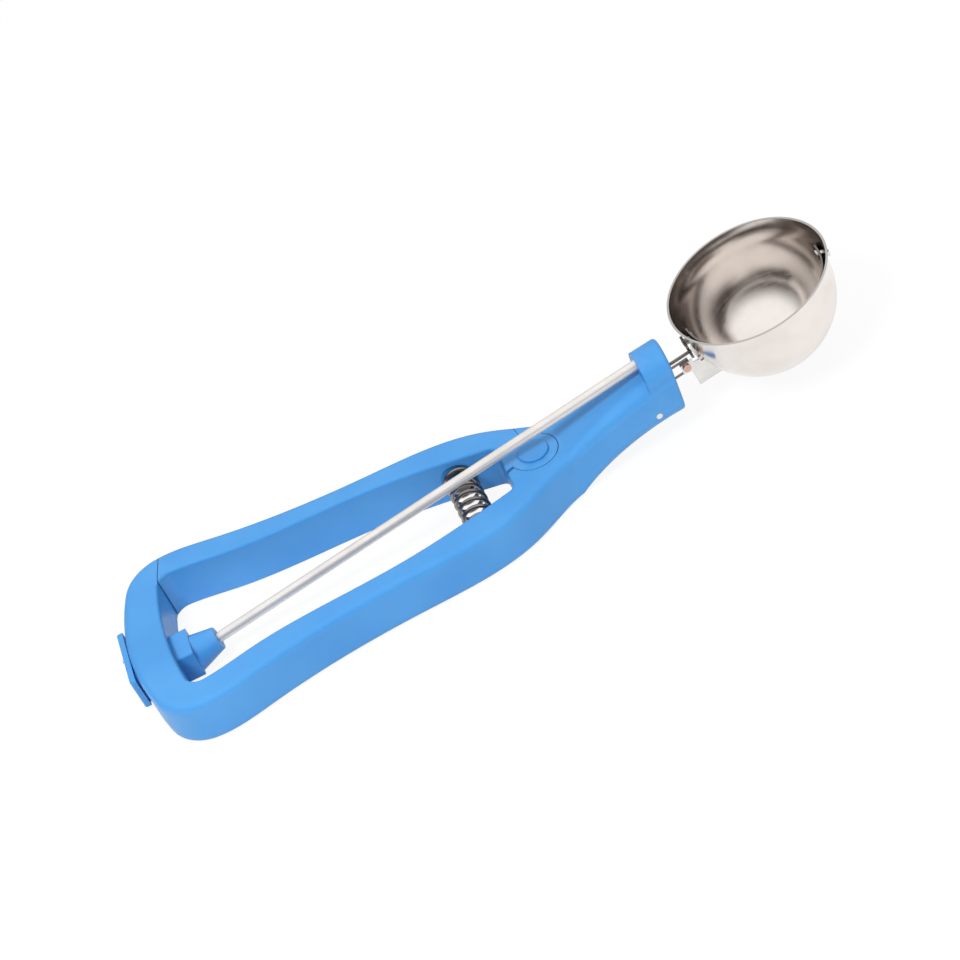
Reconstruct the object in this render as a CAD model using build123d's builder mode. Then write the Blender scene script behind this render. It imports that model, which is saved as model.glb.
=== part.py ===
"""Lever ice cream scoop: a squeeze handle that sweeps a thin blade round the inside of the bowl.

The origin is on the lever's pivot axis, in the flat underside of the handle.
+X runs towards the bowl, +Y towards the squeeze lever and +Z up.
"""
from build123d import *
from math import asin, atan, cos, degrees, pi, radians, sin, sqrt, tan
import os

# ---------------------------------------------------------------- driving sizes (mm, degrees)
# handle loop, seen from above
tail_x = -127.8             # back of the tail on the centre line
tail_crown = 80.0           # radius of the slightly rounded tail end
tail_half = 24.0            # half the width of the tail's end, up to its round corners
tail_corner = 13.5
side_heading = 8.0          # the side still widens by this angle where the corner ends
grip_x = -94.0
grip_half = 30.8            # half the width where the hand pushes
waist_x = -46.0
waist_half = 24.9           # half the width in the middle of the grip
shoulder_x = -9.0
shoulder_half = 19.0        # half the width beside the front of the window
neck_root_half = 9.9
neck_root_slope = 0.32      # the side still narrows by this much per mm where the neck begins
loop_height = 15.0
outer_round = 2.2
inner_round = 0.9
grip_thickness = 9.6        # thickness of an arm where the hand pushes
waist_thickness = 7.8
tail_wall = 12.0            # thickness of the tail on the centre line
tail_inside_half = 20.5     # half the width of the tail's inside face, up to its round corners
window_front = 9.0          # from the pivot to the front end of the window
window_corner = 4.5
window_heading = 6.0        # the window narrows by this angle where its tail corner ends
window_front_corner = 2.4
window_front_half = 10.3
window_front_slope = 0.25

# neck and collar
neck_root_x = 8.0
neck_front_x = 44.2
neck_half = 7.5
neck_round = 4.5
neck_rise_low = 8.7         # rise of the underside from root to front
neck_rise_top = 10.4        # rise of the top from root to front
neck_stations = (0.22, 0.44, 0.72, 1.0)     # shares of the neck's length where its section is given
neck_low_ease = 1.5         # how early the underside rises; 1 is a straight slope
neck_top_ease = 1.15
neck_side_ease = 4.0
neck_round_ease = 3.0
neck_face_round = 0.9
neck_wall = 2.9             # plastic above and behind the hollow of the neck
front_wall = 2.0
collar_length = 8.2
collar_half = 7.2           # half the collar's width and the radius of its round top
collar_over_rod = 2.8       # from the rod's axis to the top of the collar
collar_bore_end = 2.2       # plastic left in front of the rod's end

# squeeze lever and its pivot
lever_swing = 6.5
eye_radius = 7.25
eye_floor = 3.0             # thickness of the handle's floor under the eye
seam = 0.25                 # gap between the lever and the handle
pivot_radius = 2.0
pivot_floor = 0.8           # plastic left under the pivot pin
pivot_cap_radius = 4.54
pivot_cap_height = 0.7
pivot_cap_round = 0.3
lever_front_angle = 98.0    # the lever's front face, round the pivot from +X
lever_back_angle = 194.0    # the far end of the lever's material beside the eye
hub_reach = 12.0            # how far from the pivot the handle leaves room for it
hub_room = 1.5              # spare angle behind the far end when the lever is squeezed
feather_reach = 4.0         # the lever's thin tail end is cut off this far behind the grip
running = 0.05              # radial clearance of a shaft that turns
snug = 0.02                 # radial clearance of a pin that is pressed in
blind_gap = 0.2             # a blind hole is deeper than its pin by this
slip = 0.1                  # gap beside a flat piece in its slot or under a head
past = 1.0                  # how far a cut runs past the face that it opens
touch = 0.01                # closer than this counts as the same place

# bowl and blade
tilt = 9.0                  # the shafts and the rim rise towards the bowl
neck_to_rim = 5.35          # from the neck's front to the near edge of the rim
rim_near_z = 32.93          # height of the near edge of the rim
rim_radius = 24.0
rim_flare = 1.5             # the rim is wider than the ball of the bowl by this
bowl_wall = 0.6
blade_axis_drop = 6.75      # from the rim down to the blade's axis
blade_gap = 0.3
blade_wall = 0.5
blade_width = 6.8
blade_lug_radius = 3.4
axle_radius = 0.95
axle_head_radius = 1.9
axle_head_height = 0.65
axle_proud = 0.15           # the axle ends this far behind its gear

# gear train, placed along the shafts from the near edge of the rim
shaft_radius = 0.5
shaft_proud = 0.2           # the shaft passes its last gear and its rear bush by this
end_module = 0.25
end_teeth = 15
end_gear_width = 0.75
end_gear_gap = 0.7          # between the bowl's near wall and its gears
first_end_tooth = 6.0       # angle of a tooth on both gears at the bowl
rack_module = 0.35
rack_circle_teeth = 226     # teeth that a full circle of the sector would have
rack_teeth = 6
pinion_teeth = 9
first_pinion_tooth = 10.0
idler_teeth = 8
tooth_tip = 0.86            # height above the pitch line, in modules
tooth_root = 1.14           # depth below the pitch line, in modules
tooth_share = 0.4           # tooth thickness as a share of the pitch
flank_angle = 20.0
gear_width = 2.6
sector_width = 3.5
sector_margin = 0.55        # plate beyond the last teeth, in degrees
room_behind_sector = 0.9
room_before_sector = 0.4
tooth_foot = 0.2            # how deep a rack tooth goes into its plate, in modules
plate_thickness = 0.82
arm_relief = 0.06           # the arm is thinner than its sector by this on each side
rack_arm_width = 4.0
arm_root_radius = 5.8
arm_bore_gap = 0.3          # room round the pivot pin in the arm
arm_rivet_radius = 0.7
arm_rivet_reach = 4.2       # from the pivot to each rivet of the rack arm
arm_rivet_lip = 0.4         # a rivet's head is wider than its shank by this
arm_rivet_head_height = 0.3
stud_radius = 0.6
stud_head_radius = 0.9
stud_head_height = 0.5
bush_radius = 1.5
rib_thickness = 2.0
hollow_half = 4.6           # half the width of the neck's hollow
sector_room_half = 6.1
free = 0.5                  # room beside sheet metal that moves

# strap and bracket between the neck and the bowl, from the near edge of the rim
strap_thickness = 0.6
strap_leg = 0.5
strap_step = 1.5            # length of the low part of the strap before the sector
strap_top = -12.1
strap_bottom = -16.4
strap_front_x = -1.1
strap_window_back = -7.6
strap_window_front = -4.0
strap_back_x = -19.5
strap_low_depth = 3.5
bracket_thickness = 0.8
bracket_half = 4.0
bracket_corner = 1.5
saddle_thickness = 0.8
saddle_top = -11.5
saddle_bottom = -20.5
bracket_bottom = -22.3
bracket_back = -1.8
bracket_ear_back = -4.2
bracket_ear_top = -12.8
bracket_foot = 10.0         # reach of the flange's lower end under the bowl
bracket_rivet_x = -2.6
bracket_rivet_z = -14.2
bracket_rivet_radius = 0.6
bracket_rivet_head = 1.2
bracket_rivet_head_height = 0.6
frame_pin_radius = 0.9
frame_pin_x = -16.5
frame_pin_z = -18.1
frame_pin_boss = 0.6        # plastic around the pin inside the hollow
frame_pin_proud = 0.05

# cover under the neck
cover_back = 11.0
cover_front = 41.0
cover_half = 5.2
cover_thickness = 2.0
cover_gap = 0.15

# rod, tail plug, spring
rod_radius = 1.55
rod_front_z = 26.9          # height of the rod's axis at the back of the collar
rod_tail_x = -103.0         # front of the plug's cone
rod_tail_y = -3.3
rod_tail_z = 7.5
rod_end_x = -124.0
cone_front_radius = 3.5
cone_base_radius = 5.6
cone_length = 8.5
plug_half_y = 5.6
plug_half_z = 5.0
plug_y = -3.6
plug_z = 7.0
plug_round = 0.8
plug_gap = 0.15
flange_half_y = 11.0
flange_low_z = 2.0
flange_high_z = 13.6
flange_thickness = 1.8
flange_round = 0.6
flange_gap = 0.05
plug_pin_radius = 0.8
plug_pin_y = 5.5
plug_pin_depth = 9.0
plug_pin_proud = 1.6
spring_x = -22.0
spring_radius = 4.3         # to the middle of the wire
spring_wire = 1.25
spring_turns = 5.5
spring_gap = 0.08
seat_y = 13.8
seat_radius = 5.2
seat_depth = 4.0            # the boss behind a spring seat reaches this far into its arm
seat_clear = 3.0            # depth of the round pocket cut in front of a seat
spring_stud_radius = 2.7
spring_stud_length = 4.5
spring_shank_radius = 1.2
spring_shank_length = 3.0

# ---------------------------------------------------------------- frames and derived sizes
tilt_cos = cos(radians(tilt))
tilt_sin = sin(radians(tilt))
rim_near_x = neck_front_x + neck_to_rim
rim = Plane(
    origin=(rim_near_x, 0, rim_near_z), x_dir=(tilt_cos, 0, tilt_sin), z_dir=(-tilt_sin, 0, tilt_cos)
)
bowl_radius = rim_radius - rim_flare
bowl_axis = Axis(rim.from_local_coords((rim_radius, 0, 0)), rim.z_dir)
tail_reach = -tail_x - tail_wall
spring_z = loop_height / 2


def height_on_tilt(x, z=0.0):
    """Height at x of the tilted plane that lies z above the rim."""
    return rim_near_z + (z + (x - rim_near_x) * tilt_sin) / tilt_cos


def along_shaft(x, z):
    """Distance along the shafts from the rim to an upright plane at x, at a height from the rim."""
    return (x - rim_near_x + z * tilt_sin) / tilt_cos


# gear train, as drops from the rim and places along the shafts
rack_radius = rack_circle_teeth * rack_module / 2
pinion_radius = pinion_teeth * rack_module / 2
idler_radius = idler_teeth * rack_module / 2
shaft_drop = blade_axis_drop + end_teeth * end_module
idler_drop = shaft_drop + pinion_radius + idler_radius
rack_drop = idler_drop + idler_radius
plate_top = -rack_drop - tooth_root * rack_module
plate_bottom = plate_top - plate_thickness
sector_x = along_shaft(rack_radius, -rack_drop)
sector_back = sector_x - sector_width / 2
sector_front = sector_x + sector_width / 2
room_back = sector_back - room_behind_sector
rib_back = room_back - rib_thickness
rib_bottom = plate_top + free
room_top = -shaft_drop + pinion_radius + tooth_tip * rack_module + free / 2
end_gear_front = rim_flare - end_gear_gap
end_gear_back = end_gear_front - end_gear_width
gear_back = sector_x - gear_width / 2
gear_front = sector_x + gear_width / 2
tooth_angle = 360 / rack_circle_teeth
sector_start = -(rack_teeth - 1.5) * tooth_angle - sector_margin
sector_end = tooth_angle / 2 + sector_margin
arm_angle = (sector_start + sector_end) / 2
strap_low_top = plate_bottom - free
strap_low_bottom = strap_low_top - strap_low_depth


def across(x, z):
    """Plane square to the shafts: x along them from the rim's near edge, z up from the rim."""
    return Plane(origin=rim.from_local_coords((x, 0, z)), x_dir=(0, 1, 0), z_dir=rim.x_dir)


def beside(y):
    """Plane along the shafts and upright, at y; it faces -Y and its local axes are x and z."""
    return Plane(origin=rim.from_local_coords((0, y, 0)), x_dir=rim.x_dir, z_dir=(0, -1, 0))


def crosswise(x, z):
    """Plane that faces +Y at a place given from the rim's near edge."""
    return Plane(origin=rim.from_local_coords((x, 0, z)), x_dir=(0, 0, 1), z_dir=(0, 1, 0))


def turned_about_pivot(plane, angle):
    """The same plane, turned about the lever's pivot."""
    return Plane(Rot(0, 0, angle) * plane.location)


def prism(plane, points, start, end):
    """Solid over a polygon, from start to end along the plane's normal."""
    with BuildPart() as solid:
        with BuildSketch(plane.offset(start)):
            with BuildLine():
                Polyline(*points, close=True)
            make_face()
        extrude(amount=end - start)
    return solid.part


def turned(plane, *steps):
    """Pin, shaft or rivet: each step is (start, end, radius) along the plane's normal."""
    with BuildPart() as solid:
        for start, end, radius in steps:
            with BuildSketch(plane.offset(start)):
                Circle(radius)
            extrude(amount=end - start)
    return solid.part


def pie(start_angle, end_angle, radius, low, high):
    """Sector about the pivot between two heights."""
    angles = (start_angle, (start_angle + end_angle) / 2, end_angle)
    ends = [(radius * cos(radians(angle)), radius * sin(radians(angle))) for angle in angles]
    with BuildPart() as solid:
        with BuildSketch(Plane.XY.offset(low)):
            with BuildLine():
                Line((0, 0), ends[0])
                ThreePointArc(*ends)
                Line(ends[2], (0, 0))
            make_face()
        extrude(amount=high - low)
    return solid.part


def spherical_shell(outer, wall):
    """Thin ball about the middle of the blade's axis."""
    with BuildPart(across(rim_radius, -blade_axis_drop)) as shell:
        Sphere(outer)
        Sphere(outer - wall, mode=Mode.SUBTRACT)
    return shell.part


def gear_points(teeth, module, first_tooth=0.0):
    """Corners of a spur gear with straight flanks; first_tooth is a tooth's angle in degrees."""
    pitch_radius = teeth * module / 2
    tip_radius = pitch_radius + tooth_tip * module
    root_radius = pitch_radius - tooth_root * module
    half_tip = degrees(half_tooth(module, tooth_tip) / tip_radius)
    half_root = degrees(half_tooth(module, -tooth_root) / root_radius)
    points = []
    for tooth in range(teeth):
        middle = first_tooth + tooth * 360 / teeth
        corners = ((root_radius, -half_root), (tip_radius, -half_tip))
        corners += ((tip_radius, half_tip), (root_radius, half_root))
        for radius, turn in corners:
            angle = radians(middle + turn)
            points.append((radius * cos(angle), radius * sin(angle)))
    return points


def half_tooth(module, height):
    """Half the thickness of a tooth at a height above the pitch line, in modules."""
    return tooth_share * pi * module / 2 - height * module * tan(radians(flank_angle))


def spur(plane, teeth, module, width, bore, first_tooth=0.0):
    """Spur gear that starts on the plane and is width thick."""
    with BuildPart() as gear:
        with BuildSketch(plane):
            with BuildLine():
                Polyline(*gear_points(teeth, module, first_tooth), close=True)
            make_face()
            Circle(bore, mode=Mode.SUBTRACT)
        extrude(amount=width)
    return gear


# ---------------------------------------------------------------- handle loop, shared by body and lever
tail_end_x = tail_x + tail_crown - sqrt(tail_crown**2 - tail_half**2)
tail_heading = degrees(asin(tail_half / tail_crown))
tail_inside_x = -sqrt(tail_reach**2 - tail_inside_half**2)
tail_inside_heading = degrees(asin(tail_inside_half / tail_reach))
with BuildPart() as loop:
    with BuildSketch():
        with BuildLine():
            tail_end = ThreePointArc((tail_end_x, -tail_half), (tail_x, 0), (tail_end_x, tail_half))
            corner_turn = 90 - tail_heading - side_heading
            corner = JernArc(tail_end @ 1, tail_end % 1, tail_corner, -corner_turn)
            side = Spline(
                corner @ 1,
                (grip_x, grip_half),
                (waist_x, waist_half),
                (shoulder_x, shoulder_half),
                (neck_root_x, neck_root_half),
                tangents=(corner % 1, (1, -neck_root_slope)),
            )
            Line(side @ 1, (neck_root_x, 0))
            mirror(corner, about=Plane.XZ)
            mirror(side, about=Plane.XZ)
            Line((neck_root_x, -neck_root_half), (neck_root_x, 0))
        make_face()
    extrude(amount=loop_height)
    outer_rims = edges().filter_by(Axis.Z, reverse=True)
    fillet(outer_rims.filter_by(lambda edge: edge.center().X < neck_root_x - touch), radius=outer_round)
    with BuildSketch():
        with BuildLine():
            tail_inside = ThreePointArc(
                (tail_inside_x, -tail_inside_half), (-tail_reach, 0), (tail_inside_x, tail_inside_half)
            )
            inner_turn = 90 - tail_inside_heading + window_heading
            inner_corner = JernArc(tail_inside @ 1, tail_inside % 1, window_corner, -inner_turn)
            front_turn = 90 - degrees(atan(window_front_slope))
            front_corner_reach = window_front_corner * sin(radians(front_turn))
            inside = Spline(
                inner_corner @ 1,
                (grip_x, grip_half - grip_thickness),
                (waist_x, waist_half - waist_thickness),
                (-window_front - front_corner_reach, window_front_half),
                tangents=(inner_corner % 1, (1, -window_front_slope)),
            )
            front_corner = JernArc(inside @ 1, inside % 1, window_front_corner, -front_turn)
            Line(front_corner @ 1, ((front_corner @ 1).X, -(front_corner @ 1).Y))
            mirror(inner_corner, about=Plane.XZ)
            mirror(inside, about=Plane.XZ)
            mirror(front_corner, about=Plane.XZ)
        make_face()
    extrude(amount=loop_height, mode=Mode.SUBTRACT)
    fillet(edges(Select.LAST).filter_by(Axis.Z, reverse=True), radius=inner_round)


# ---------------------------------------------------------------- neck and collar
def ease(share, power):
    """Rises from 0 to 1, steeply at first."""
    return 1 - (1 - share) ** power


def neck_share(x):
    """0 at the root of the neck, 1 at its front."""
    return (x - neck_root_x) / (neck_front_x - neck_root_x)


def neck_low(x):
    """Height of the neck's underside on the centre line."""
    return neck_rise_low * ease(neck_share(x), neck_low_ease)


def neck_top(x):
    """Height of the neck's top on the centre line."""
    return loop_height + neck_rise_top * ease(neck_share(x), neck_top_ease)


def neck_section(x):
    """The neck's outline at x."""
    narrowed = ease(neck_share(x), neck_side_ease)
    rounded = ease(neck_share(x), neck_round_ease)
    with BuildSketch(Plane.YZ.offset(x)) as section:
        with Locations((0, (neck_low(x) + neck_top(x)) / 2)):
            RectangleRounded(
                2 * (neck_root_half + (neck_half - neck_root_half) * narrowed),
                neck_top(x) - neck_low(x),
                outer_round + (neck_round - outer_round) * rounded,
            )
    return section.sketch


loop_end = loop.faces().filter_by(Axis.X).sort_by(Axis.X)[-1]
neck_length = neck_front_x - neck_root_x
with BuildPart() as neck:
    loft([loop_end, *[neck_section(neck_root_x + share * neck_length) for share in neck_stations]])

collar_back_x = neck_front_x - collar_length
rod_tail = Vector(rod_tail_x, rod_tail_y, rod_tail_z)
rod_front = Vector(collar_back_x, 0, rod_front_z)
rod_line = (rod_front - rod_tail).normalized()
rod_plane = Plane(origin=rod_tail, x_dir=(0, 1, 0), z_dir=rod_line)
collar_top = rod_front_z + collar_over_rod
collar_slope = rod_line.Z / rod_line.X
collar_middle = collar_top - collar_half
collar_foot = neck_top(collar_back_x) - neck_round
with BuildPart() as collar:
    with BuildSketch(Plane.YZ.offset(collar_back_x)):
        with Locations((0, collar_middle)):
            Circle(collar_half)
        with Locations((0, (collar_middle + collar_foot) / 2)):
            Rectangle(2 * collar_half, collar_middle - collar_foot)
    extrude(amount=collar_length * sqrt(1 + collar_slope**2), dir=(1, 0, collar_slope))

# ---------------------------------------------------------------- hollow of the neck
cover_line = [(x, neck_low(x) + cover_thickness) for x in (cover_back, 2 * cover_back, cover_front)]
cover_hole = prism(
    Plane.XZ, [(cover_back, -past), (cover_front, -past), *reversed(cover_line)], -cover_half, cover_half
)
arm_low_z = height_on_tilt(neck_root_x, plate_bottom + arm_relief)
rib_foot = rim.from_local_coords((rib_back, 0, rib_bottom))
rib_head = rim.from_local_coords((rib_back, 0, -shaft_drop))
strap_corner = rim.from_local_coords((room_back, 0, strap_low_bottom))
core = prism(
    Plane.XZ,
    [
        (cover_back, cover_line[0][1] - free),
        (strap_corner.X, cover_line[1][1]),
        (rib_foot.X, rib_foot.Z),
        (rib_head.X, rib_head.Z),
        (cover_back, neck_top(cover_back) - neck_wall),
    ],
    -hollow_half,
    hollow_half,
)
room_front_x = neck_front_x - front_wall
inside_front_wall = prism(
    Plane.XZ,
    [
        (neck_root_x, 0),
        (cover_front, neck_low(cover_front)),
        (cover_front, cover_line[2][1]),
        (room_front_x, neck_low(room_front_x) + cover_thickness),
        (room_front_x, 2 * neck_front_x),
        (neck_root_x, 2 * neck_front_x),
    ],
    -neck_half,
    neck_half,
)
with BuildPart() as gear_room:
    add(
        prism(
            beside(0),
            [
                (rib_back, rib_bottom),
                (rib_back, 2 * strap_low_bottom),
                (strap_front_x, 2 * strap_low_bottom),
                (strap_front_x, room_top),
                (room_back, room_top),
                (room_back, rib_bottom),
            ],
            -hollow_half,
            hollow_half,
        )
    )
    add(
        prism(
            beside(0),
            [
                (room_back, plate_bottom - free),
                (strap_front_x, plate_bottom - free),
                (strap_front_x, -rack_drop + 2 * rack_module),
                (room_back, -rack_drop + 2 * rack_module),
            ],
            -sector_room_half,
            sector_room_half,
        )
    )
    add(inside_front_wall, mode=Mode.INTERSECT)
arm_sweep_half = rack_arm_width / 2 + cover_back * tan(radians(lever_swing / 2)) + free
arm_way = prism(
    Plane.XZ,
    [
        (pivot_cap_radius, arm_low_z - free),
        (cover_back + past, arm_low_z - free),
        (cover_back + past, height_on_tilt(cover_back, plate_top) + free),
        (pivot_cap_radius, height_on_tilt(cover_back, plate_top) + free),
    ],
    -arm_sweep_half,
    arm_sweep_half,
)


def strap_outline(spread):
    """The strap's outline, grown by spread on every side."""
    strap_back_wall = sector_front + room_before_sector
    step_end = strap_back_wall + strap_step
    with BuildPart() as solid:
        with BuildSketch(beside(strap_thickness + spread)):
            with BuildLine():
                Polyline(
                    (strap_back_x, strap_low_top),
                    (strap_back_wall, strap_low_top),
                    (strap_back_wall, strap_top),
                    (strap_front_x, strap_top),
                    (strap_front_x, strap_bottom),
                    (step_end, strap_bottom),
                    (step_end, strap_low_top - free),
                    (strap_back_wall, strap_low_bottom),
                    (strap_back_x, strap_low_bottom),
                    close=True,
                )
            make_face()
            offset(amount=spread, kind=Kind.INTERSECTION)
        extrude(amount=strap_thickness + 2 * spread)
    return solid.part


# ---------------------------------------------------------------- handle body
seat_plane = Plane(origin=(spring_x, 0, spring_z), x_dir=(1, 0, 0), z_dir=(0, 1, 0))
boss_radius = frame_pin_radius + frame_pin_boss
shaft_axis = across(0, -shaft_drop)
idler_axis = across(0, -idler_drop)
lever_zone_front = lever_front_angle - degrees(seam / shoulder_half)
wall_middle = (neck_half + hollow_half) / 2
pin_reach = neck_half + frame_pin_proud
pin_place = crosswise(frame_pin_x, frame_pin_z)
rod_length = (rod_front - rod_tail).length
with BuildPart() as handle_body:
    add(loop.part)
    add(pie(lever_zone_front, 180, tail_reach, -past, loop_height + past), mode=Mode.SUBTRACT)
    hub_end = lever_back_angle + lever_swing + hub_room
    add(pie(180, hub_end, hub_reach, -past, loop_height + past), mode=Mode.SUBTRACT)
    add(neck.part)
    add(collar.part)
    fillet(faces().sort_by(Axis.X)[-1].edges(), radius=neck_face_round)
    add(turned(Plane.XY, (0, eye_floor, eye_radius + seam)))
    add(turned(Plane.XY, (eye_floor, 2 * loop_height, eye_radius + seam)), mode=Mode.SUBTRACT)
    for cutter in (cover_hole, core, gear_room.part, arm_way):
        add(cutter, mode=Mode.SUBTRACT)
    for start, end in ((-wall_middle, -slip), (strap_thickness + slip, wall_middle)):
        add(turned(pin_place, (start, end, boss_radius)))
    pin_hole = (-neck_root_half, neck_root_half, frame_pin_radius + snug)
    add(turned(pin_place, pin_hole), mode=Mode.SUBTRACT)
    add(turned(Plane.XY, (pivot_floor, loop_height, pivot_radius + snug)), mode=Mode.SUBTRACT)
    add(turned(shaft_axis, (rib_back - past, strap_front_x, bush_radius + snug)), mode=Mode.SUBTRACT)
    stud_hole = (rib_back - past, room_back + past, stud_radius + snug)
    add(turned(idler_axis, stud_hole), mode=Mode.SUBTRACT)
    add(strap_outline(slip), mode=Mode.SUBTRACT)
    rod_bore_end = rod_length + (collar_length - collar_bore_end) / rod_line.X
    rod_hole = (rod_length - 2 * rod_radius, rod_bore_end, rod_radius + snug)
    add(turned(rod_plane, rod_hole), mode=Mode.SUBTRACT)
    with BuildSketch(Plane.YZ.offset(tail_x - past)):
        with Locations((plug_y, plug_z)):
            Rectangle(2 * (plug_half_y + plug_gap), 2 * (plug_half_z + plug_gap))
    extrude(amount=tail_wall + 2 * past, mode=Mode.SUBTRACT)
    pin_axis = Plane(origin=(tail_x, plug_pin_y, rod_tail_z), x_dir=(0, 1, 0), z_dir=(1, 0, 0))
    add(turned(pin_axis, (-past, plug_pin_depth, plug_pin_radius + snug)), mode=Mode.SUBTRACT)
    add(turned(seat_plane, (-seat_y - seat_depth, -seat_y, seat_radius)))
    add(turned(seat_plane, (-seat_y, -seat_y + seat_clear, seat_radius)), mode=Mode.SUBTRACT)
    shank_hole = (-seat_y - spring_shank_length - blind_gap, -seat_y, spring_shank_radius + snug)
    add(turned(seat_plane, shank_hole), mode=Mode.SUBTRACT)

with BuildPart() as neck_cover:
    add(neck.part)
    cover_zone = [(x, z - cover_gap) for x, z in cover_line]
    cover_zone[0] = (cover_back + cover_gap, neck_low(cover_back) + cover_thickness - cover_gap)
    cover_zone[2] = (cover_front - cover_gap, neck_low(cover_front) + cover_thickness - 2 * cover_gap)
    add(
        prism(
            Plane.XZ,
            [(cover_zone[0][0], -past), (cover_zone[2][0], -past), *reversed(cover_zone)],
            cover_gap - cover_half,
            cover_half - cover_gap,
        ),
        mode=Mode.INTERSECT,
    )

# ---------------------------------------------------------------- squeeze lever
eye_low = eye_floor + seam
arm_top_z = arm_low_z + plate_thickness - 2 * arm_relief
arm_plane = turned_about_pivot(Plane.XZ, arm_angle)
arm_rivets = PolarLocations(arm_rivet_reach, 2, start_angle=arm_angle + 90)
with BuildPart() as lever_zone:
    add(pie(lever_front_angle, 180, tail_reach - seam, -past, loop_height + past))
    add(pie(180, lever_back_angle, hub_reach - seam, -past, loop_height + past))
with BuildPart() as squeeze_lever:
    add(loop.part)
    add(lever_zone.part, mode=Mode.INTERSECT)
    feather = [(-tail_reach, 0), (grip_x, 0), (grip_x - feather_reach, grip_half - grip_thickness)]
    feather += [(-tail_reach, tail_inside_half + window_corner / 2)]
    add(prism(Plane.XY, feather, -past, loop_height + past), mode=Mode.SUBTRACT)
    add(turned(Plane.XY, (-past, eye_low, eye_radius + 2 * seam)), mode=Mode.SUBTRACT)
    add(turned(Plane.XY, (eye_low, loop_height, eye_radius)))
    add(turned(seat_plane, (seat_y, seat_y + seat_depth, seat_radius)))
    add(turned(seat_plane, (seat_y - seat_clear, seat_y, seat_radius)), mode=Mode.SUBTRACT)
    shank_hole = (seat_y, seat_y + spring_shank_length + blind_gap, spring_shank_radius + snug)
    add(turned(seat_plane, shank_hole), mode=Mode.SUBTRACT)
    add(turned(Plane.XY, (0, loop_height, pivot_radius + running)), mode=Mode.SUBTRACT)
    pocket = (arm_low_z - slip, arm_top_z + arm_rivet_head_height + slip, arm_root_radius + slip)
    add(turned(Plane.XY, pocket), mode=Mode.SUBTRACT)
    mouth = [(0, pocket[0]), (2 * eye_radius, pocket[0]), (2 * eye_radius, pocket[1]), (0, pocket[1])]
    mouth_half = rack_arm_width / 2 + slip
    add(prism(arm_plane, mouth, -mouth_half, mouth_half), mode=Mode.SUBTRACT)
    with BuildSketch(Plane.XY):
        with arm_rivets:
            Circle(arm_rivet_radius + snug)
    extrude(amount=arm_top_z, mode=Mode.SUBTRACT)

with BuildPart() as rack_arm:
    add(turned(Plane.XY, (arm_low_z, arm_top_z, arm_root_radius)))
    sector_corners = [
        rim.from_local_coords((x, 0, z))
        for x, z in (
            (sector_back, plate_bottom),
            (sector_front, plate_bottom),
            (sector_front, plate_top),
            (sector_back, plate_top),
        )
    ]
    arm_end = sector_corners[0].X + free
    arm_side = [
        (0, arm_low_z),
        (neck_root_x, arm_low_z),
        (arm_end, height_on_tilt(arm_end, plate_bottom + arm_relief)),
        (arm_end, height_on_tilt(arm_end, plate_top - arm_relief)),
        (neck_root_x, height_on_tilt(neck_root_x, plate_top - arm_relief)),
        (0, arm_top_z),
    ]
    add(prism(arm_plane, arm_side, -rack_arm_width / 2, rack_arm_width / 2))
    with BuildSketch(turned_about_pivot(Plane.XZ, sector_start)):
        with BuildLine():
            Polyline(*[(point.X, point.Z) for point in sector_corners], close=True)
        make_face()
    revolve(axis=Axis.Z, revolution_arc=sector_end - sector_start)
    foot_height = -tooth_root - tooth_foot
    foot_half = half_tooth(rack_module, foot_height)
    tip_half = half_tooth(rack_module, tooth_tip)
    tooth_side = [
        (-foot_half, foot_height * rack_module),
        (-tip_half, tooth_tip * rack_module),
        (tip_half, tooth_tip * rack_module),
        (foot_half, foot_height * rack_module),
    ]
    for tooth in range(rack_teeth):
        angle = (tooth - rack_teeth + 1.5) * tooth_angle
        add(prism(turned_about_pivot(across(gear_back, -rack_drop), angle), tooth_side, 0, gear_width))
    add(turned(Plane.XY, (0, loop_height, pivot_radius + arm_bore_gap)), mode=Mode.SUBTRACT)
    with BuildSketch(Plane.XY):
        with arm_rivets:
            Circle(arm_rivet_radius + snug)
    extrude(amount=arm_top_z, mode=Mode.SUBTRACT)

with BuildPart() as rack_rivets:
    with BuildSketch(Plane.XY.offset(eye_low + blind_gap)):
        with arm_rivets:
            Circle(arm_rivet_radius)
    extrude(amount=arm_top_z - eye_low - blind_gap)
    with BuildSketch(Plane.XY.offset(arm_top_z)):
        with arm_rivets:
            Circle(arm_rivet_radius + arm_rivet_lip)
    extrude(amount=arm_rivet_head_height)

# ---------------------------------------------------------------- pivot
with BuildPart() as pivot_pin:
    add(turned(Plane.XY, (pivot_floor, loop_height + pivot_cap_height / 2, pivot_radius)))
with BuildPart() as pivot_cap:
    cap_low = loop_height + slip
    add(turned(Plane.XY, (cap_low, cap_low + pivot_cap_height, pivot_cap_radius)))
    fillet(edges().sort_by(Axis.Z)[-1], radius=pivot_cap_round)
    add(turned(Plane.XY, (0, loop_height + pivot_cap_height / 2, pivot_radius + snug)), mode=Mode.SUBTRACT)

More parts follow.
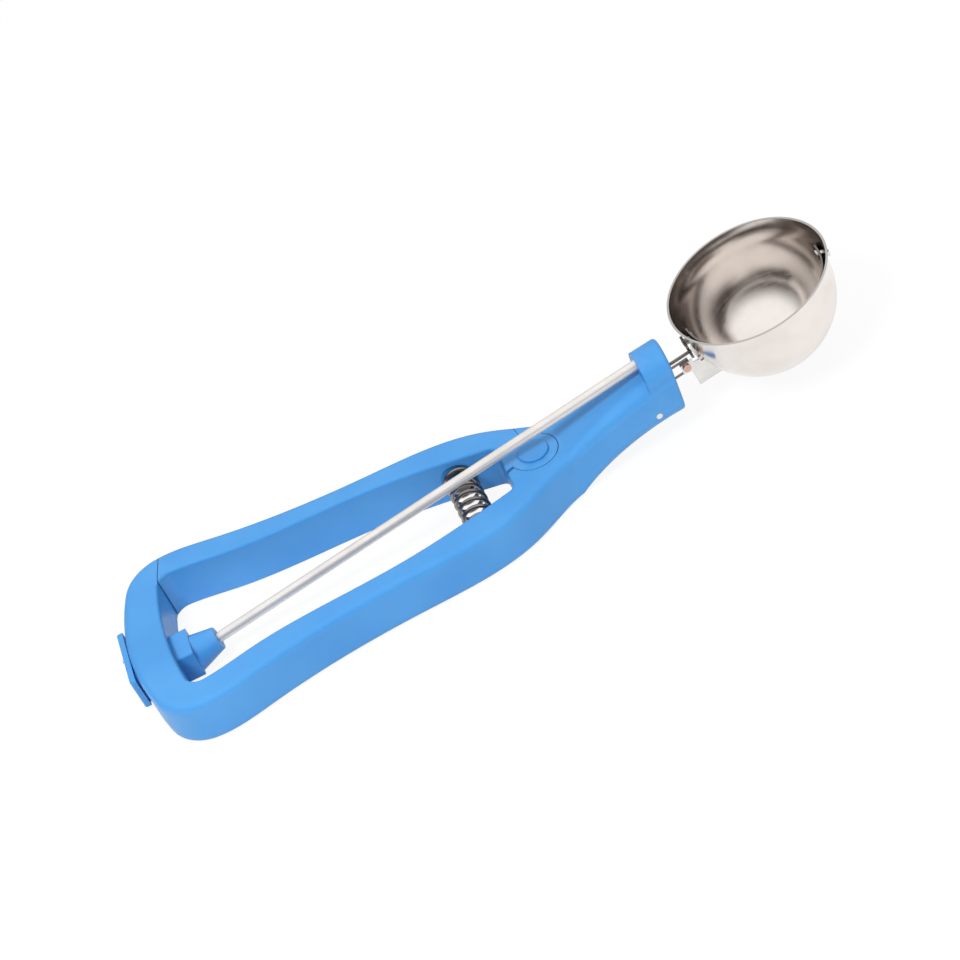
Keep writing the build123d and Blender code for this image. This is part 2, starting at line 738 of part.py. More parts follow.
# ---------------------------------------------------------------- gears, shaft and bushes
idler_gear = spur(
    across(gear_back, -idler_drop), idler_teeth, rack_module, gear_width, stud_radius + running
)
with BuildPart() as idler_stud:
    add(
        turned(
            idler_axis,
            (rib_back, gear_front + slip, stud_radius),
            (room_back, gear_back - slip, stud_head_radius),
            (gear_front + slip, gear_front + slip + stud_head_height, stud_head_radius),
        )
    )
drive_pinion = spur(
    across(gear_back, -shaft_drop),
    pinion_teeth,
    rack_module,
    gear_width,
    shaft_radius + snug,
    first_pinion_tooth,
)
front_gear = spur(
    across(end_gear_back, -shaft_drop),
    end_teeth,
    end_module,
    end_gear_width,
    shaft_radius + snug,
    first_end_tooth,
)
blade_gear = spur(
    across(end_gear_back, -blade_axis_drop),
    end_teeth,
    end_module,
    end_gear_width,
    axle_radius + snug,
    first_end_tooth,
)
with BuildPart() as drive_shaft:
    add(turned(shaft_axis, (rib_back - shaft_proud, end_gear_front + shaft_proud, shaft_radius)))


def bush(start, end):
    """Bush of the drive shaft between two places along it."""
    with BuildPart() as solid:
        add(turned(shaft_axis, (start, end, bush_radius)))
        add(turned(shaft_axis, (start, end, shaft_radius + running)), mode=Mode.SUBTRACT)
    return solid


rear_bush = bush(rib_back, room_back)
front_bush = bush(
    along_shaft(room_front_x, -shaft_drop) - bush_radius * tilt_sin,
    along_shaft(neck_front_x, -shaft_drop) + bush_radius * tilt_sin,
)

# ---------------------------------------------------------------- bowl and blade
blade_axis = across(rim_radius, -blade_axis_drop)
half_turn = sqrt(0.5)
bowl_inner = bowl_radius - bowl_wall
blade_outer = bowl_inner - blade_gap
lip_radius = (blade_axis_drop**2 + rim_flare**2) / (2 * rim_flare)
with BuildPart() as bowl:
    with BuildSketch(across(rim_radius, 0)):
        with BuildLine():
            rim_ends = []
            for radius, lip in ((bowl_radius, lip_radius), (bowl_inner, lip_radius + bowl_wall)):
                low_end = (0, -blade_axis_drop - radius)
                middle = (radius * half_turn, -blade_axis_drop - radius * half_turn)
                high_end = (radius, -blade_axis_drop)
                ThreePointArc(low_end, middle, high_end)
                flare_turn = degrees(asin(blade_axis_drop / lip))
                flare = JernArc(high_end, (0, 1), lip, -flare_turn)
                rim_ends.append(flare @ 1)
            Line(*rim_ends)
            Line((0, -blade_axis_drop - bowl_radius), (0, -blade_axis_drop - bowl_inner))
        make_face()
    revolve(axis=bowl_axis)
    add(turned(blade_axis, (-rim_radius, -bowl_inner / 2, axle_radius + running)), mode=Mode.SUBTRACT)
    add(turned(blade_axis, (bowl_inner / 2, rim_radius, axle_radius + snug)), mode=Mode.SUBTRACT)
with BuildPart() as ejector_blade:
    add(spherical_shell(blade_outer, blade_wall))
    with BuildSketch(blade_axis.offset(-rim_radius)):
        with Locations((-rim_radius / 2, 0)):
            Rectangle(rim_radius, blade_width)
        Circle(blade_lug_radius)
    extrude(amount=2 * rim_radius, mode=Mode.INTERSECT)
    add(turned(blade_axis, (-rim_radius, 0, axle_radius + snug)), mode=Mode.SUBTRACT)
    add(turned(blade_axis, (0, rim_radius, axle_radius + running)), mode=Mode.SUBTRACT)
head_seat = blade_outer - blade_wall - slip
with BuildPart() as blade_axle:
    add(
        turned(
            blade_axis,
            (end_gear_back - rim_radius - axle_proud, -head_seat, axle_radius),
            (-head_seat, axle_head_height - head_seat, axle_head_radius),
        )
    )
rivet_head_x = bowl_radius + rim_flare * axle_head_radius / blade_axis_drop + running
with BuildPart() as far_rivet:
    add(
        turned(
            blade_axis,
            (head_seat - axle_head_height - running, head_seat - running, axle_head_radius),
            (head_seat - running, rivet_head_x, axle_radius),
            (rivet_head_x, rivet_head_x + axle_head_height, axle_head_radius),
        )
    )

# ---------------------------------------------------------------- strap and bracket
rivet_axis = crosswise(bracket_rivet_x, bracket_rivet_z)
with BuildPart() as bowl_tang:
    add(strap_outline(0))
    window = [
        (strap_window_back, strap_top - strap_leg),
        (strap_window_front, strap_top - strap_leg),
        (strap_window_front, strap_bottom + strap_leg),
        (strap_window_back, strap_bottom + strap_leg),
    ]
    add(prism(beside(0), window, -past, past), mode=Mode.SUBTRACT)
    add(turned(pin_place, (-past, past, frame_pin_radius + snug)), mode=Mode.SUBTRACT)
    add(turned(rivet_axis, (-past, past, bracket_rivet_radius + snug)), mode=Mode.SUBTRACT)
with BuildPart() as bowl_bracket:
    add(spherical_shell(bowl_radius + snug + saddle_thickness, saddle_thickness))
    with BuildSketch(blade_axis.offset(-2 * rim_radius)):
        with Locations((0, blade_axis_drop + (saddle_top + saddle_bottom) / 2)):
            RectangleRounded(2 * bracket_half, saddle_top - saddle_bottom, bracket_corner)
    extrude(amount=2 * rim_radius, mode=Mode.INTERSECT)
    flange = [
        (bracket_ear_back, bracket_ear_top),
        (end_gear_back - free / 2, bracket_ear_top),
        (end_gear_back - free / 2, bracket_rivet_z),
        (bracket_half, bracket_rivet_z),
        (bracket_foot, bracket_bottom),
        (bracket_back, bracket_bottom),
        (bracket_back, strap_bottom),
        (bracket_ear_back, strap_bottom + strap_leg),
    ]
    add(prism(beside(0), flange, 0, bracket_thickness))
    with BuildSketch(across(rim_radius, 0)):
        with BuildLine():
            outer_end = (0, -blade_axis_drop - bowl_radius - snug)
            side_end = (bowl_radius + snug, -blade_axis_drop)
            middle = ((bowl_radius + snug) * half_turn, -blade_axis_drop - (bowl_radius + snug) * half_turn)
            ThreePointArc(outer_end, middle, side_end)
            Line(side_end, (0, -blade_axis_drop))
            Line((0, -blade_axis_drop), outer_end)
        make_face()
    revolve(axis=bowl_axis, mode=Mode.SUBTRACT)
    add(turned(rivet_axis, (-past, past, bracket_rivet_radius + snug)), mode=Mode.SUBTRACT)
with BuildPart() as bracket_rivet:
    add(
        turned(
            rivet_axis,
            (-bracket_thickness - bracket_rivet_head_height, -bracket_thickness, bracket_rivet_head),
            (-bracket_thickness, strap_thickness, bracket_rivet_radius),
            (strap_thickness, strap_thickness + bracket_rivet_head_height, bracket_rivet_head),
        )
    )
with BuildPart() as frame_pin:
    add(turned(pin_place, (-pin_reach, pin_reach, frame_pin_radius)))

# ---------------------------------------------------------------- rod, tail plug and its pin
rod_back = (rod_end_x - rod_tail_x) / rod_line.X
with BuildPart() as tie_rod:
    add(turned(rod_plane, (rod_back, rod_bore_end - slip, rod_radius)))
with BuildPart() as tail_plug:
    with BuildSketch(Plane(origin=rod_tail, x_dir=rod_line, z_dir=rod_line.cross(Vector(0, 0, 1)))):
        with BuildLine():
            Polyline(
                (0, 0),
                (0, cone_front_radius),
                (-cone_length, cone_base_radius),
                (-cone_length, 0),
                close=True,
            )
        make_face()
    revolve(axis=Axis(rod_tail, rod_line))
    with BuildSketch(Plane.YZ.offset(tail_x - flange_thickness)):
        with Locations((plug_y, plug_z)):
            RectangleRounded(2 * plug_half_y, 2 * plug_half_z, plug_round)
    extrude(amount=rod_tail_x - cone_length + past - tail_x + flange_thickness)
    with BuildSketch(Plane.YZ.offset(tail_x - flange_gap)):
        with Locations((0, (flange_low_z + flange_high_z) / 2)):
            RectangleRounded(2 * flange_half_y, flange_high_z - flange_low_z, 2 * flange_round)
    extrude(amount=-flange_thickness)
    fillet(faces().sort_by(Axis.X)[0].edges(), radius=flange_round)
    add(turned(rod_plane, (rod_back - blind_gap, cone_length, rod_radius + snug)), mode=Mode.SUBTRACT)
    add(turned(pin_axis, (-2 * flange_thickness, plug_pin_depth, plug_pin_radius + snug)), mode=Mode.SUBTRACT)
with BuildPart() as plug_pin:
    pin_ends = (-flange_thickness - plug_pin_proud, plug_pin_depth - blind_gap)
    add(turned(pin_axis, (*pin_ends, plug_pin_radius)))

# ---------------------------------------------------------------- return spring and its studs
spring_half = seat_y - spring_gap - spring_wire / 2
with BuildPart() as return_spring:
    with BuildLine():
        coil = Helix(
            2 * spring_half / spring_turns,
            2 * spring_half,
            spring_radius,
            center=(spring_x, -spring_half, spring_z),
            direction=(0, 1, 0),
        )
    with BuildSketch(Plane(origin=coil @ 0, z_dir=coil % 0)):
        Circle(spring_wire / 2)
    sweep(path=coil, is_frenet=True)


def spring_stud(side):
    """Stud in one of the two spring seats; side is 1 on the lever and -1 on the body."""
    face = Plane(origin=(spring_x, side * seat_y, spring_z), x_dir=(1, 0, 0), z_dir=(0, -side, 0))
    with BuildPart() as solid:
        add(
            turned(
                face,
                (-spring_shank_length, 0, spring_shank_radius),
                (0, spring_stud_length, spring_stud_radius),
            )
        )
        fillet(faces().sort_by(Axis.Y)[-1 if side < 0 else 0].edges(), radius=free)
    return solid


lever_spring_stud = spring_stud(1)
body_spring_stud = spring_stud(-1)

# ---------------------------------------------------------------- pieces
pieces = {
    "handle_body": handle_body,
    "squeeze_lever": squeeze_lever,
    "neck_cover": neck_cover,
    "pivot_pin": pivot_pin,
    "pivot_cap": pivot_cap,
    "rack_arm": rack_arm,
    "rack_rivets": rack_rivets,
    "idler_gear": idler_gear,
    "idler_stud": idler_stud,
    "drive_pinion": drive_pinion,
    "drive_shaft": drive_shaft,
    "rear_bush": rear_bush,
    "front_bush": front_bush,
    "front_gear": front_gear,
    "blade_gear": blade_gear,
    "blade_axle": blade_axle,
    "bowl": bowl,
    "ejector_blade": ejector_blade,
    "far_rivet": far_rivet,
    "bowl_tang": bowl_tang,
    "bowl_bracket": bowl_bracket,
    "bracket_rivet": bracket_rivet,
    "frame_pin": frame_pin,
    "tie_rod": tie_rod,
    "tail_plug": tail_plug,
    "plug_pin": plug_pin,
    "return_spring": return_spring,
    "lever_spring_stud": lever_spring_stud,
    "body_spring_stud": body_spring_stud,
}
os.makedirs("parts", exist_ok=True)
for name, piece in pieces.items():
    piece.part.label = name
    export_step(piece.part, f"parts/{name}.step")
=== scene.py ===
from math import cos, pi, radians, sin

import bpy
from mathutils import Matrix, Vector


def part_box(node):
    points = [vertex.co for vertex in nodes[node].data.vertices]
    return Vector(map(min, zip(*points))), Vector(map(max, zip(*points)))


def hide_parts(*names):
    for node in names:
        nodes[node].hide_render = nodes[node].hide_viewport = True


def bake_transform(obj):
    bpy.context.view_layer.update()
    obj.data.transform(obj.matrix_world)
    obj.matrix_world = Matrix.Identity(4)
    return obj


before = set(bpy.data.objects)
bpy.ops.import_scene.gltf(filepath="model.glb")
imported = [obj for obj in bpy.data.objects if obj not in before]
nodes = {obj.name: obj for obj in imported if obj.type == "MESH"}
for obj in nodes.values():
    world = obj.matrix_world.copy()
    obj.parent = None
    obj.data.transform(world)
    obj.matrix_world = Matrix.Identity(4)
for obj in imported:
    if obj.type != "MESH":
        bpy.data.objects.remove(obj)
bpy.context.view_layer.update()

# Lengths are in metres, and noise scales are per metre. A span is a pair of values of a measure,
# and an effect grows from nothing to full between them.

# ---------------------------------------------------------------- camera
CAMERA_PLACE = Vector((-0.03058, -0.47741, 0.41254))
CAMERA_RIGHT = Vector((0.89695, -0.29793, -0.32668))
CAMERA_UP = Vector((0.44160, 0.56729, 0.69511))
SENSOR_MILLIMETRES = 36.0
FOCAL_PIXELS = 2200
FRAME_PIXELS = 960
NEAREST_SEEN = 0.01


def add_object(name, data):
    thing = bpy.data.objects.new(name, data)
    bpy.context.scene.collection.objects.link(thing)
    return thing


def add_camera():
    camera = add_object("camera", bpy.data.cameras.new("camera"))
    right = CAMERA_RIGHT.normalized()
    up = (CAMERA_UP - right * CAMERA_UP.dot(right)).normalized()
    axes = Matrix((right, up, right.cross(up))).transposed()
    camera.matrix_world = Matrix.Translation(CAMERA_PLACE) @ axes.to_4x4()
    camera.data.sensor_width = SENSOR_MILLIMETRES
    camera.data.lens = SENSOR_MILLIMETRES * FOCAL_PIXELS / FRAME_PIXELS
    camera.data.clip_start = NEAREST_SEEN
    bpy.context.scene.camera = camera


# ---------------------------------------------------------------- node trees
MIDDLE_SPAN = (0.3, 0.7)        # where most values of a noise lie


class Tree:
    """A node tree, and short ways to add to it."""

    def __init__(self, tree):
        self.tree = tree
        self.tree.nodes.clear()

    def plug(self, socket, value):
        """Links another node's output to the socket, or sets the socket to a plain value."""
        if isinstance(value, bpy.types.NodeSocket):
            self.tree.links.new(value, socket)
        else:
            socket.default_value = value

    def feed(self, node, **inputs):
        """Fills inputs of a node: _0 and _1 are inputs by number, other keywords are names."""
        for key, value in inputs.items():
            name = int(key[1:]) if key[0] == "_" else key.replace("_", " ")
            self.plug(node.inputs[name], value)

    def add(self, kind, settings=None, **inputs):
        """A new node, with its settings made before its inputs are filled."""
        node = self.tree.nodes.new(kind)
        for key, value in (settings or {}).items():
            setattr(node, key, value)
        self.feed(node, **inputs)
        return node

    def math(self, operation, a, b):
        return self.add("ShaderNodeMath", {"operation": operation}, _0=a, _1=b).outputs[0]

    def vector_node(self, operation, *vectors, **inputs):
        """A node that works on one or two vectors."""
        numbered = {f"_{i}": vector for i, vector in enumerate(vectors)}
        return self.add("ShaderNodeVectorMath", {"operation": operation}, **numbered, **inputs)

    def vector_math(self, operation, *vectors):
        return self.vector_node(operation, *vectors).outputs["Vector"]

    def measure(self, operation, *vectors):
        """A number that is worked out from vectors."""
        return self.vector_node(operation, *vectors).outputs["Value"]

    def scale(self, vector, factor):
        return self.vector_node("SCALE", vector, Scale=factor).outputs["Vector"]

    def noise(self, place, scale, detail=3.0, roughness=0.5, distortion=0.0):
        look = {"Scale": scale, "Detail": detail, "Roughness": roughness, "Distortion": distortion}
        return self.add("ShaderNodeTexNoise", Vector=place, **look).outputs[0]

    def remap(self, value, span, result=(0.0, 1.0)):
        """Carries the values of a span over to a result, and cuts off what lies outside."""
        ends = {"_1": span[0], "_2": span[1], "_3": result[0], "_4": result[1]}
        return self.add("ShaderNodeMapRange", _0=value, **ends).outputs[0]

    def mix(self, factor, a, b):
        """A colour between two colours."""
        node = self.add("ShaderNodeMix", {"data_type": "RGBA"}, _0=factor)
        for number, colour in ((6, a), (7, b)):
            plain = isinstance(colour, tuple)
            self.plug(node.inputs[number], (*colour, 1.0) if plain else colour)
        return node.outputs[2]

    def bump(self, height, strength, depth, **under):
        """A normal that follows a height, on top of the normal that Normal=... gives."""
        relief = {"Height": height, "Strength": strength, "Distance": depth}
        return self.add("ShaderNodeBump", **relief, **under).outputs[0]

    def place(self):
        """The point on the object, in its own frame."""
        return self.add("ShaderNodeTexCoord").outputs["Object"]


def new_material(name):
    material = bpy.data.materials.new(name)
    material.use_nodes = True
    return material, Tree(material.node_tree)


def new_surface(name):
    material, tree = new_material(name)
    surface = tree.add("ShaderNodeBsdfPrincipled")
    tree.add("ShaderNodeOutputMaterial", Surface=surface.outputs[0])
    return material, tree, surface


def darker(colour, share):
    return tuple(share * part for part in colour)


# ---------------------------------------------------------------- moulded plastic
PLASTIC_BLUE = (0.044, 0.240, 0.575)
PLASTIC_BLUE_PALE = (0.060, 0.280, 0.625)
PLASTIC_ROUGHNESS = (0.36, 0.46)
PLASTIC_BODY = {
    "IOR": 1.47,
    "Subsurface_Weight": 0.04,
    "Subsurface_Radius": (0.2, 0.5, 1.0),
    "Subsurface_Scale": 0.0008,
}
CLOUD_SCALE = 38.0
RIPPLE_SCALE = 260.0
RIPPLE_DEPTH = 0.0003
MOULD_GRAIN_SCALE = 4200.0
MOULD_GRAIN_DEPTH = 0.00006
EDGE_SPAN = (0.52, 0.60)
# Rubbed edges: rougher from wear, and painted a lighter blue as a painted highlight on convex
# edges.
RUBBED_HIGHLIGHT_SPAN = (0.35, 0.75)
EDGE_HIGHLIGHT_BLUE = (0.16, 0.40, 0.70)
EDGE_HIGHLIGHT_SHARE = 0.3
RUBBED_ROUGHNESS = 0.08


def plastic():
    """Injection-moulded blue plastic: fine eroded texture, faint flow clouds, rubbed edges painted
    lighter as a painted highlight.
    """
    material, tree, surface = new_surface("moulded_plastic")
    place = tree.place()
    clouds = tree.noise(place, CLOUD_SCALE, detail=2.0)
    grain = tree.noise(place, MOULD_GRAIN_SCALE, detail=2.0)
    ripple = tree.noise(place, RIPPLE_SCALE)
    edges = tree.remap(tree.add("ShaderNodeNewGeometry").outputs["Pointiness"], EDGE_SPAN)
    rubbed_and_highlit = tree.math("MULTIPLY", edges, tree.remap(ripple, RUBBED_HIGHLIGHT_SPAN))
    colour = tree.mix(tree.remap(clouds, MIDDLE_SPAN), PLASTIC_BLUE, PLASTIC_BLUE_PALE)
    # painted highlight: convex edges turn a lighter blue in patches; the roughness added below is
    # rubbing wear
    colour = tree.mix(tree.math("MULTIPLY", rubbed_and_highlit, EDGE_HIGHLIGHT_SHARE), colour, EDGE_HIGHLIGHT_BLUE)
    even = tree.remap(ripple, MIDDLE_SPAN, PLASTIC_ROUGHNESS)
    rough = tree.math("ADD", even, tree.math("MULTIPLY", rubbed_and_highlit, RUBBED_ROUGHNESS))
    fine = tree.bump(grain, strength=0.16, depth=MOULD_GRAIN_DEPTH)
    waves = tree.bump(ripple, strength=0.08, depth=RIPPLE_DEPTH, Normal=fine)
    tree.feed(surface, Base_Color=colour, Roughness=rough, Normal=waves, **PLASTIC_BODY)
    return material


# ---------------------------------------------------------------- bar and sheet steel
GRAIN_SCALE = 5200.0
GRAIN_DEPTH = 0.000006
GRAIN_STRETCH = 60.0            # how many times longer than wide a grain line is
GRAIN_LINES_SPAN = (0.45, 0.75)
GRAIN_LINES_SHARE = 0.35
GRAIN_LINES_DARKNESS = 0.7
GRAIN_ROUGHNESS = 0.04
STEEL_STAIN_SCALE = 150.0
STEEL_STAIN_SPAN = (0.3, 0.75)
STEEL_STAIN_DARKNESS = 0.88
DULL_STAIN_SPAN = (0.4, 0.7)
DULL_STAIN_ROUGHNESS = 0.05


def steel(name, colour, along, rough, depth=GRAIN_DEPTH, stretch=GRAIN_STRETCH, metal=1.0):
    """Steel with a fine grain that runs along a direction, and faint stains."""
    material, tree, surface = new_surface(name)
    place = tree.place()
    axis = tuple(along.normalized())
    slid = tree.scale(axis, tree.measure("DOT_PRODUCT", place, axis))
    squeezed = tree.vector_math("SUBTRACT", place, tree.scale(slid, 1 - 1 / stretch))
    grain = tree.noise(squeezed, GRAIN_SCALE)
    stains = tree.noise(place, STEEL_STAIN_SCALE)
    stained = tree.remap(stains, STEEL_STAIN_SPAN)
    shade = tree.mix(stained, colour, darker(colour, STEEL_STAIN_DARKNESS))
    lines = tree.remap(grain, GRAIN_LINES_SPAN, (0.0, GRAIN_LINES_SHARE))
    shade = tree.mix(lines, shade, darker(colour, GRAIN_LINES_DARKNESS))
    brushed = tree.remap(grain, MIDDLE_SPAN, (rough - GRAIN_ROUGHNESS, rough + GRAIN_ROUGHNESS))
    dull = tree.remap(stains, DULL_STAIN_SPAN, (0.0, DULL_STAIN_ROUGHNESS))
    roughness = tree.math("ADD", brushed, dull)
    relief = tree.bump(grain, strength=0.2, depth=depth)
    tree.feed(surface, Base_Color=shade, Roughness=roughness, Normal=relief, Metallic=metal)
    return material


# ---------------------------------------------------------------- spun steel
SPUN_GLOSS = {"Metallic": 1.0, "Anisotropic": 0.5, "Anisotropic_Rotation": 0.25}
SPUN_SMOOTHER = 0.03
SPUN_ROUGHER = 0.04
RING_SCALE = 7000.0
RING_DEPTH = 0.000006
RING_LEAN = (1.0, 0.3, 0.2)     # the way through the noise from one ring to the next
RING_WANDER = 0.0004            # how far a ring strays in the noise as it goes round
BAND_SCALE = 700.0
BAND_SPAN = (0.4, 0.6)
BAND_ROUGHNESS = 0.02
SMEAR_SCALE = 300.0
SMEAR_SPAN = (0.5, 0.8)
SMEAR_ROUGHNESS = 0.04
SPUN_STAIN_SCALE = 70.0
SPUN_STAIN_SPAN = (0.35, 0.7)
SPUN_STAIN_DARKNESS = 0.9
# The rim edge at and just below the centre's height: rougher as a cut edge, and darker as painted
# shade.
CUT_EDGE_AND_SHADE_SPAN = (-0.00015, -0.00004)
RIM_EDGE_PAINTED_SHADE = 0.65
CUT_EDGE_ROUGHNESS = 0.15


def spun_steel(name, colour, centre, spindle, rough):
    """Steel brushed in rings about a spindle, with a dull cut edge at the centre's height that is
    also painted darker as painted shade.
    """
    material, tree, surface = new_surface(name)
    place = tree.place()
    axis = tuple(spindle.normalized())
    offset = tree.vector_math("SUBTRACT", place, tuple(centre))
    height = tree.measure("DOT_PRODUCT", offset, axis)
    flat = tree.vector_math("SUBTRACT", offset, tree.scale(axis, height))
    outward = tree.vector_math("NORMALIZE", flat)
    ring = tree.math("SUBTRACT", tree.measure("LENGTH", flat), height)
    wander = tree.scale(outward, RING_WANDER)
    lines = tree.vector_math("ADD", wander, tree.scale(RING_LEAN, ring))
    grain = tree.noise(lines, RING_SCALE, roughness=0.6)
    bands = tree.noise(lines, BAND_SCALE, detail=2.0)
    stains = tree.noise(place, SPUN_STAIN_SCALE, roughness=0.6)
    smears = tree.noise(place, SMEAR_SCALE, detail=2.0, distortion=1.0)
    cut_edge_and_shade = tree.remap(height, CUT_EDGE_AND_SHADE_SPAN)
    stained = tree.remap(stains, SPUN_STAIN_SPAN)
    shade = tree.mix(stained, colour, darker(colour, SPUN_STAIN_DARKNESS))
    # painted shade: the rim edge turns darker
    shade = tree.mix(cut_edge_and_shade, shade, darker(colour, RIM_EDGE_PAINTED_SHADE))
    roughness = tree.remap(grain, MIDDLE_SPAN, (rough - SPUN_SMOOTHER, rough + SPUN_ROUGHER))
    for extra in (
        tree.remap(smears, SMEAR_SPAN, (0.0, SMEAR_ROUGHNESS)),
        tree.remap(bands, BAND_SPAN, (0.0, BAND_ROUGHNESS)),
        tree.math("MULTIPLY", cut_edge_and_shade, CUT_EDGE_ROUGHNESS),
    ):
        roughness = tree.math("ADD", roughness, extra)
    relief = tree.bump(grain, strength=0.12, depth=RING_DEPTH)
    around = tree.vector_math("CROSS_PRODUCT", axis, outward)
    tree.feed(surface, Base_Color=shade, Roughness=roughness, Normal=relief, Tangent=around)
    tree.feed(surface, **SPUN_GLOSS)
    return material


# ---------------------------------------------------------------- bearing plastic
MOTTLE_SCALE = 900.0
MOTTLE_DEPTH = 0.00005
MOTTLE_DARKNESS = 0.85
BEARING_ROUGHNESS = (0.45, 0.6)


def dull_plastic(name, colour):
    """Unpainted bearing plastic."""
    material, tree, surface = new_surface(name)
    mottle = tree.noise(tree.place(), MOTTLE_SCALE)
    shade = tree.mix(tree.remap(mottle, MIDDLE_SPAN), colour, darker(colour, MOTTLE_DARKNESS))
    rough = tree.remap(mottle, MIDDLE_SPAN, BEARING_ROUGHNESS)
    relief = tree.bump(mottle, strength=0.1, depth=MOTTLE_DEPTH)
    tree.feed(surface, Base_Color=shade, Roughness=rough, Normal=relief)
    return material


# ---------------------------------------------------------------- materials of the nodes
TILT = radians(9)               # how much the shafts rise towards the bowl
SHAFT_AXIS = Vector((cos(TILT), 0, sin(TILT)))
RIM_AXIS = Vector((-sin(TILT), 0, cos(TILT)))
RIM_CENTRE = Vector((0.07325, 0, 0.03668))
ROD_AXIS = Vector((0.1396, 0.0033, 0.0194))
ACROSS = Vector((0, 1, 0))
WARM_STEEL = (0.835, 0.78, 0.74)
ROD_STEEL = (0.80, 0.77, 0.74)
BRIGHT_STEEL = (0.80, 0.785, 0.76)
DARK_STEEL = (0.22, 0.205, 0.195)
GEAR_GREY = (0.28, 0.27, 0.26)
CHROMED_WIRE = (0.33, 0.30, 0.285)
COPPER = (0.66, 0.44, 0.34)
NYLON = (0.80, 0.80, 0.76)
ROD_GRAIN = {"depth": 0.000001, "stretch": 300.0}
WIRE_GRAIN = {"depth": 0.000002, "stretch": 2.0}


def dress(material, *names):
    """Puts one material on every slot of the named nodes."""
    for name in names:
        for slot in nodes[name].material_slots:
            slot.material = material


def dress_nodes():
    dress(plastic(), "handle_body", "squeeze_lever", "neck_cover", "pivot_cap", "tail_plug")
    dress(spun_steel("spun_steel", WARM_STEEL, RIM_CENTRE, RIM_AXIS, rough=0.14), "bowl")
    dress(steel("blade_steel", DARK_STEEL, ACROSS, rough=0.22), "ejector_blade")
    rod = steel("rod_steel", ROD_STEEL, ROD_AXIS, rough=0.42, metal=0.6, **ROD_GRAIN)
    dress(rod, "tie_rod")
    dress(steel("bracket_steel", BRIGHT_STEEL, SHAFT_AXIS, rough=0.2), "bowl_bracket")
    dress(steel("strap_steel", DARK_STEEL, SHAFT_AXIS, rough=0.25), "bowl_tang", "drive_shaft")
    gear = steel("gear_steel", GEAR_GREY, SHAFT_AXIS, rough=0.3)
    dress(gear, "rack_arm", "idler_gear", "idler_stud", "drive_pinion", "front_gear", "blade_gear")
    dress(gear, "blade_axle", "rack_rivets", "lever_spring_stud", "body_spring_stud")
    pin = steel("pin_steel", BRIGHT_STEEL, ACROSS, rough=0.18)
    dress(pin, "frame_pin", "pivot_pin", "plug_pin", "far_rivet")
    dress(steel("coppery_steel", COPPER, ACROSS, rough=0.3), "bracket_rivet")
    dress(dull_plastic("bush_nylon", NYLON), "rear_bush", "front_bush")


# ---------------------------------------------------------------- return spring
WIRE_RADIUS = 0.000625
SPRING_TURNS = 8.0
STEPS_A_TURN = 40
WIRE_SIDES = 14
CLOSED_SHARE = 0.10             # the share of the turns in each closed end


def tube(name, path, radius, sides):
    """Round wire along a path, with its two ends closed."""
    vertices = []
    faces = []
    for i, point in enumerate(path):
        before = path[max(i - 1, 0)]
        after = path[min(i + 1, len(path) - 1)]
        forward = (after - before).normalized()
        side = forward.cross(ACROSS).normalized()
        lift = side.cross(forward)
        for j in range(sides):
            angle = 2 * pi * j / sides
            vertices.append(point + radius * (cos(angle) * side + sin(angle) * lift))
    for i in range(len(path) - 1):
        ring = i * sides
        following = ring + sides
        for j in range(sides):
            k = (j + 1) % sides
            faces.append((ring + j, ring + k, following + k, following + j))
    last = (len(path) - 1) * sides
    faces.append(tuple(range(sides - 1, -1, -1)))
    faces.append(tuple(last + j for j in range(sides)))
    mesh = bpy.data.meshes.new(name)
    mesh.from_pydata(vertices, [], faces)
    mesh.update()
    for face in mesh.polygons:
        face.use_smooth = face.loop_total == 4
    return mesh


def rise(share, closed):
    """The share of its way that the wire has risen after a share of its turns.

    In each closed end it rises by the share that closed gives.
    """
    if share < CLOSED_SHARE:
        return closed * share / CLOSED_SHARE
    if share > 1 - CLOSED_SHARE:
        return 1 - closed * (1 - share) / CLOSED_SHARE
    return closed + (1 - 2 * closed) * (share - CLOSED_SHARE) / (1 - 2 * CLOSED_SHARE)


def add_spring():
    """Compression spring with closed ends, between the two arms."""
    low, high = (Vector(corner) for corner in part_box("return_spring"))
    middle = (low + high) / 2
    coil_radius = (high.x - low.x) / 2 - WIRE_RADIUS
    reach = (high.y - low.y) / 2 - WIRE_RADIUS
    closed = WIRE_RADIUS / reach
    path = []
    steps = round(SPRING_TURNS * STEPS_A_TURN)
    for i in range(steps + 1):
        share = i / steps
        angle = 2 * pi * SPRING_TURNS * share
        along = reach * (2 * rise(share, closed) - 1)
        path.append(middle + Vector((coil_radius * cos(angle), along, coil_radius * sin(angle))))
    spring = add_object("coil_spring", tube("coil_spring", path, WIRE_RADIUS, WIRE_SIDES))
    wire = steel("spring_wire", CHROMED_WIRE, ACROSS, rough=0.2, **WIRE_GRAIN)
    spring.data.materials.append(wire)
    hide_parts("return_spring")
    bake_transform(spring)


# ---------------------------------------------------------------- floor
FLOOR_REACH = 6.0
FLOOR_WHITE = (0.90, 0.90, 0.90, 1.0)
GLOW_WHITE = (1.0, 1.0, 1.0, 1.0)
GLOW_SHARE = 0.9                # how much of the floor's glow the camera sees
GLOSS_SHARE = 0.74              # how much of it shows in reflections


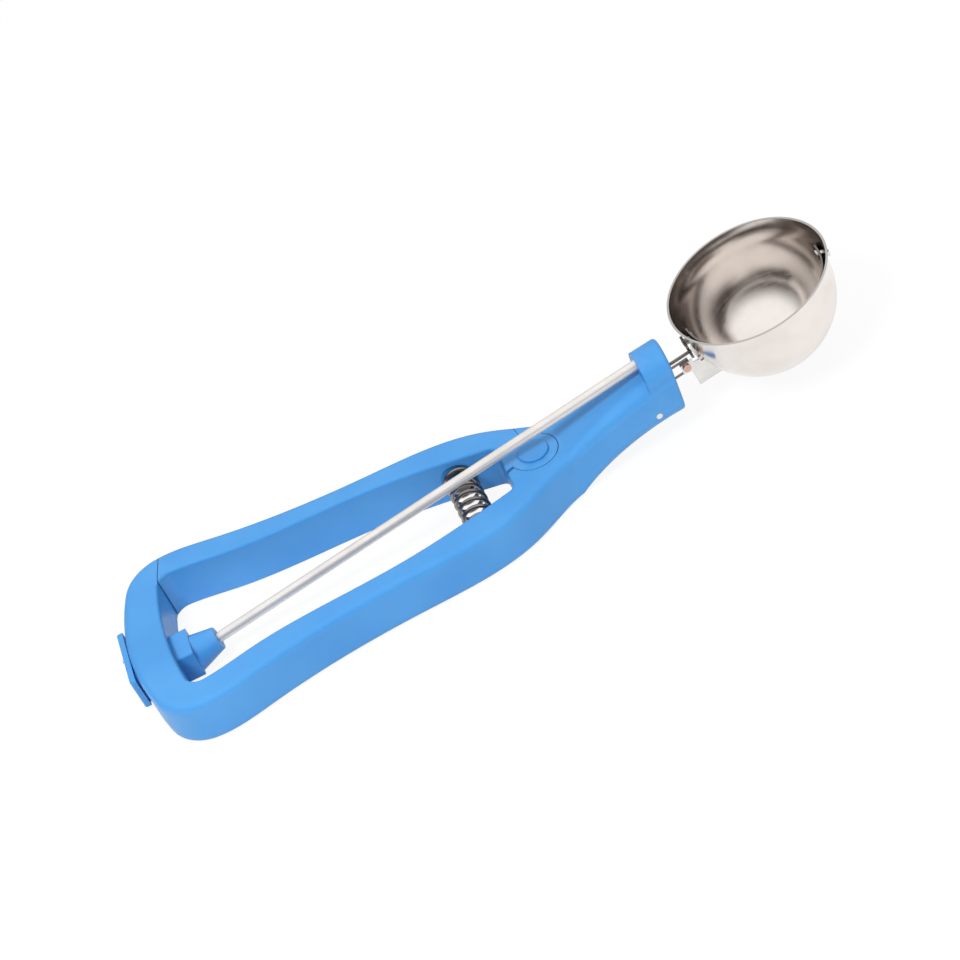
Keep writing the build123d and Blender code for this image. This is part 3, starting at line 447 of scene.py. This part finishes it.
def add_floor():
    """A white floor that keeps a soft shadow and shows pale in reflections."""
    mesh = bpy.data.meshes.new("floor")
    signs = ((-1, -1), (1, -1), (1, 1), (-1, 1))
    corners = [(x * FLOOR_REACH, y * FLOOR_REACH, 0) for x, y in signs]
    mesh.from_pydata(corners, [], [(0, 1, 2, 3)])
    floor = add_object("floor", mesh)
    material, tree = new_material("floor_white")
    path = tree.add("ShaderNodeLightPath")
    direct = tree.math("MULTIPLY", path.outputs["Is Camera Ray"], GLOW_SHARE)
    glossy = tree.math("MULTIPLY", path.outputs["Is Glossy Ray"], GLOSS_SHARE)
    seen = tree.math("MAXIMUM", direct, glossy)
    plain = tree.add("ShaderNodeBsdfDiffuse", Color=FLOOR_WHITE).outputs[0]
    glow = tree.add("ShaderNodeEmission", Color=GLOW_WHITE, Strength=1.0).outputs[0]
    mixed = tree.add("ShaderNodeMixShader", _0=seen, _1=plain, _2=glow)
    tree.add("ShaderNodeOutputMaterial", Surface=mixed.outputs[0])
    mesh.materials.append(material)


# ---------------------------------------------------------------- room and lamps
ROOM_DARK = (0.075, 0.062, 0.056)
ROOM_LIGHT = (1.1, 1.1, 1.1)
BACKDROP_WHITE = (1.0, 1.0, 1.0)
CEILING_SPAN = (0.42, 0.74)     # spans of a direction's Z, and for WALL_SPAN of its Y
WALL_SPAN = (0.6, 0.85)
WALL_RISE_SPAN = (0.15, 0.35)
LAMPS_AIM = Vector((-0.02, 0.0, 0.02))


def add_world():
    """A room that is dim near the horizon, with a wide white ceiling and a white back wall."""
    world = bpy.data.worlds.new("studio")
    bpy.context.scene.world = world
    world.use_nodes = True
    tree = Tree(world.node_tree)
    path = tree.add("ShaderNodeLightPath")
    generated = tree.add("ShaderNodeTexCoord").outputs["Generated"]
    direction = tree.add("ShaderNodeSeparateXYZ", Vector=generated).outputs
    ceiling = tree.remap(direction["Z"], CEILING_SPAN)
    back = tree.remap(direction["Y"], WALL_SPAN)
    wall = tree.math("MULTIPLY", back, tree.remap(direction["Z"], WALL_RISE_SPAN))
    room = tree.mix(tree.math("MAXIMUM", ceiling, wall), ROOM_DARK, ROOM_LIGHT)
    colour = tree.mix(path.outputs["Is Camera Ray"], room, BACKDROP_WHITE)
    background = tree.add("ShaderNodeBackground", Color=colour, Strength=1.0)
    tree.add("ShaderNodeOutputWorld", Surface=background.outputs[0])


def add_lamp(name, place, size, watts):
    """A soft rectangular lamp that lights the object and doesn't show in its metal."""
    data = bpy.data.lights.new(name, "AREA")
    data.shape = "RECTANGLE"
    data.size, data.size_y = size
    data.energy = watts
    lamp = add_object(name, data)
    lamp.location = place
    lamp.visible_glossy = False
    lamp.rotation_euler = (LAMPS_AIM - Vector(place)).to_track_quat("-Z", "Y").to_euler()


def add_lamps():
    add_lamp("key", place=(-0.35, -0.42, 0.78), size=(0.25, 0.25), watts=6.0)
    add_lamp("fill", place=(0.5, -0.75, 0.45), size=(0.8, 0.5), watts=2.0)


add_camera()
dress_nodes()
add_spring()
add_floor()
add_world()
add_lamps()
bpy.context.scene.view_settings.view_transform = "Standard"
